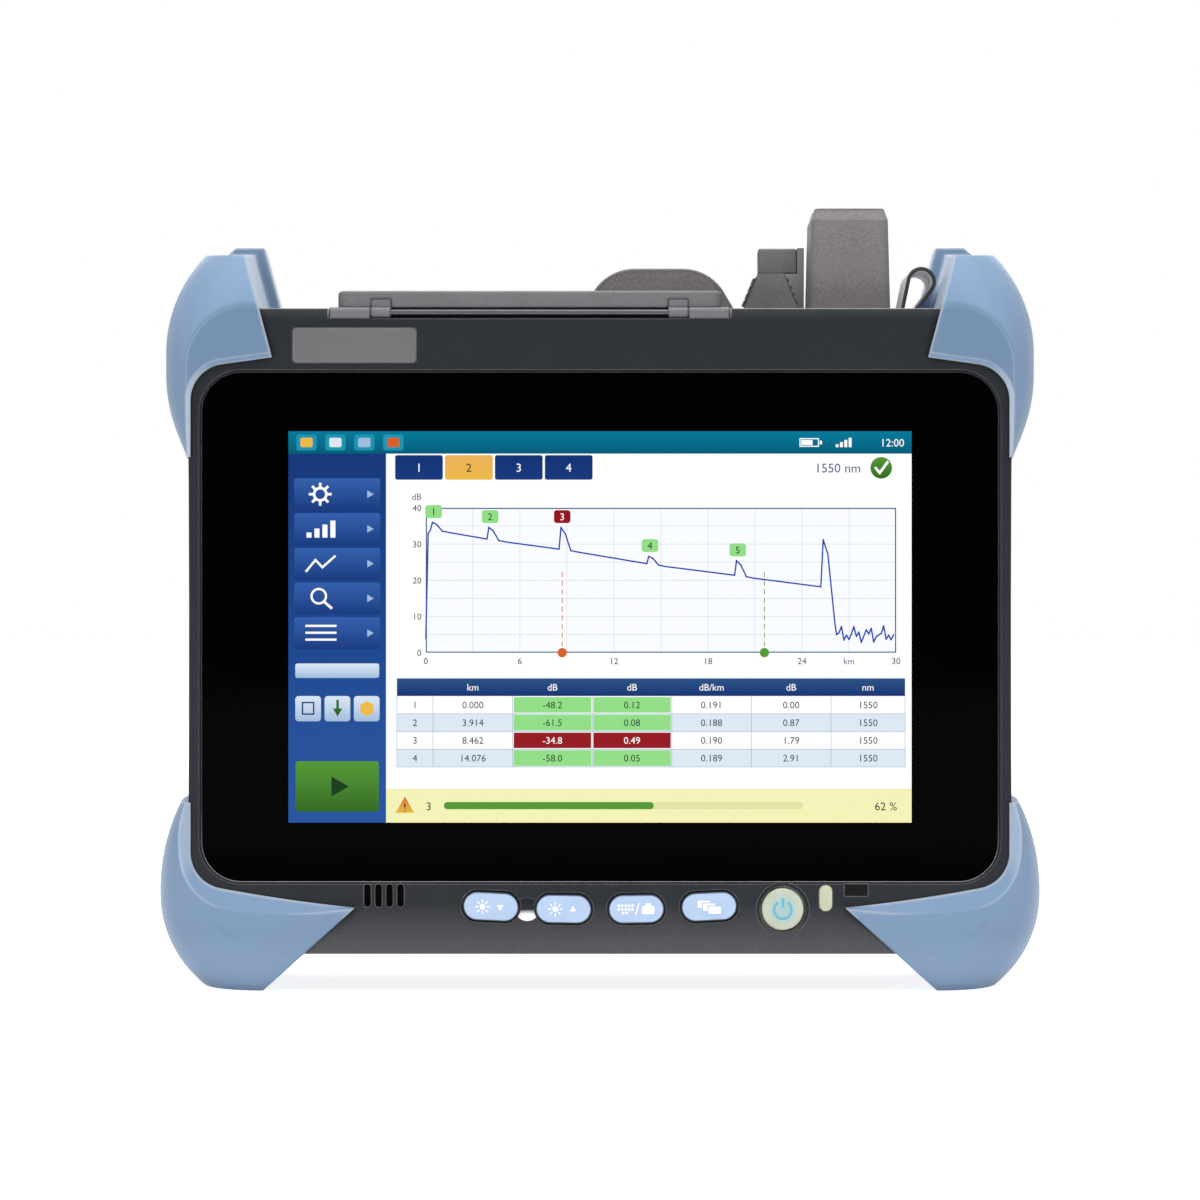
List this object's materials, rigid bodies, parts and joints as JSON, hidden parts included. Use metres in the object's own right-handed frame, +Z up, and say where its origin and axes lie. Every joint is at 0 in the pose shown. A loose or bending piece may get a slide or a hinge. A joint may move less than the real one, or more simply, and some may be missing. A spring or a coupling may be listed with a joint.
{
  "type": "optical time domain reflectometer",
  "caption": "Handheld fibre tester: a flat glass-fronted housing with soft corner bumpers, a key row, a hinged port door, capped optical ports, a strap loop and a folding leg.",
  "frame": {"origin": "under the middle of the instrument, on the surface that its lower bumpers stand on", "axes": "+X to the user's right, -Y the front with the screen, +Z up"},
  "size_m": [0.2504, 0.066, 0.2227],
  "materials": {
    "shell": "fine-grained dark moulded plastic",
    "bumper": "matt over-moulded elastomer",
    "glass": "black-bordered touch glass",
    "display": "display module",
    "alloy": "satin",
    "board": "circuit board",
    "key": "pale blue silicone-coated key",
    "power": "pale translucent key",
    "lamp": "translucent light pipe",
    "window": "dark window",
    "plate": "satin grey",
    "door": "mid-grey moulded plastic",
    "seal": "black rubber",
    "steel": "plain",
    "dark": "black moulded plastic",
    "grey": "grained grey plastic",
    "webbing": "woven strap",
    "pack": "shrink-wrapped cells"
  },
  "bodies": {
    "housing": {"front_shell": "shell", "rear_shell": "shell", "upper_left_bumper": "bumper", "upper_right_bumper": "bumper", "lower_left_bumper": "bumper", "lower_right_bumper": "bumper", "touch_glass": "glass", "display_panel": "display", "chassis_frame": "alloy", "main_board": "board", "status_lamp": "lamp", "sensor_window": "window", "label_plate": "plate", "key_board": "board", "dome_switches": "steel", "speaker": "dark", "hinge_rod": "steel", "hinge_brackets": "dark", "port_panel": "dark", "port_board": "board", "usb_socket_1": "steel", "usb_socket_2": "steel", "network_jack_1": "dark", "network_jack_2": "dark", "power_jack": "dark", "sound_jack": "dark", "module_case": "alloy", "module_panel": "dark", "module_board": "board", "laser_block": "alloy", "test_port": "dark", "meter_port": "alloy", "adapter_body": "alloy", "pull_grip": "grey", "pen_loop": "webbing", "loop_anchor": "dark", "battery_pack": "pack", "battery_door": "shell", "stand_pin": "steel", "fan_frame": "dark", "heat_sink": "alloy", "shell_screws": "steel", "battery_screws": "steel"},
    "dim_key": {"dim_key": "key"},
    "bright_key": {"bright_key": "key"},
    "keyboard_key": {"keyboard_key": "key"},
    "window_key": {"window_key": "key"},
    "power_key": {"power_key": "power"},
    "port_door": {"port_door": "door", "door_seal": "seal"},
    "kick_stand": {"kick_stand": "shell", "stand_pads": "seal"},
    "test_port_cover": {"test_port_cover": "grey"},
    "meter_cap": {"meter_cap": "grey"},
    "adapter_cap": {"adapter_cap": "dark"},
    "fan_rotor": {"fan_rotor": "dark"}
  },
  "joints": [
    {"name": "dim_key_press", "type": "slide", "parent": "housing", "child": "dim_key", "axis": [0, 1, 0], "range_m": [0, 0.0008], "stiffness_N_per_m": 600},
    {"name": "bright_key_press", "type": "slide", "parent": "housing", "child": "bright_key", "axis": [0, 1, 0], "range_m": [0, 0.0008], "stiffness_N_per_m": 600},
    {"name": "keyboard_key_press", "type": "slide", "parent": "housing", "child": "keyboard_key", "axis": [0, 1, 0], "range_m": [0, 0.0008], "stiffness_N_per_m": 600},
    {"name": "window_key_press", "type": "slide", "parent": "housing", "child": "window_key", "axis": [0, 1, 0], "range_m": [0, 0.0008], "stiffness_N_per_m": 600},
    {"name": "power_key_press", "type": "slide", "parent": "housing", "child": "power_key", "axis": [0, 1, 0], "range_m": [0, 0.0008], "stiffness_N_per_m": 600},
    {"name": "door_hinge", "type": "hinge", "parent": "housing", "child": "port_door", "pos_m": [-0.0195, -0.0293, 0.1891], "axis": [1, 0, 0], "range_deg": [0, 110]},
    {"name": "stand_hinge", "type": "hinge", "parent": "housing", "child": "kick_stand", "pos_m": [0, 0.0286, 0.1315], "axis": [1, 0, 0], "range_deg": [0, 50]},
    {"name": "test_cover_pull", "type": "slide", "parent": "housing", "child": "test_port_cover", "axis": [0, 0, 1], "range_m": [0, 0.034]},
    {"name": "meter_cap_pull", "type": "slide", "parent": "housing", "child": "meter_cap", "axis": [0, 0, 1], "range_m": [0, 0.014]},
    {"name": "adapter_cap_pull", "type": "slide", "parent": "housing", "child": "adapter_cap", "axis": [0, 0, 1], "range_m": [0, 0.01]},
    {"name": "fan_spin", "type": "hinge", "parent": "housing", "child": "fan_rotor", "pos_m": [-0.078, 0.022, 0.13], "axis": [0, 1, 0], "continuous": true}
  ]
}
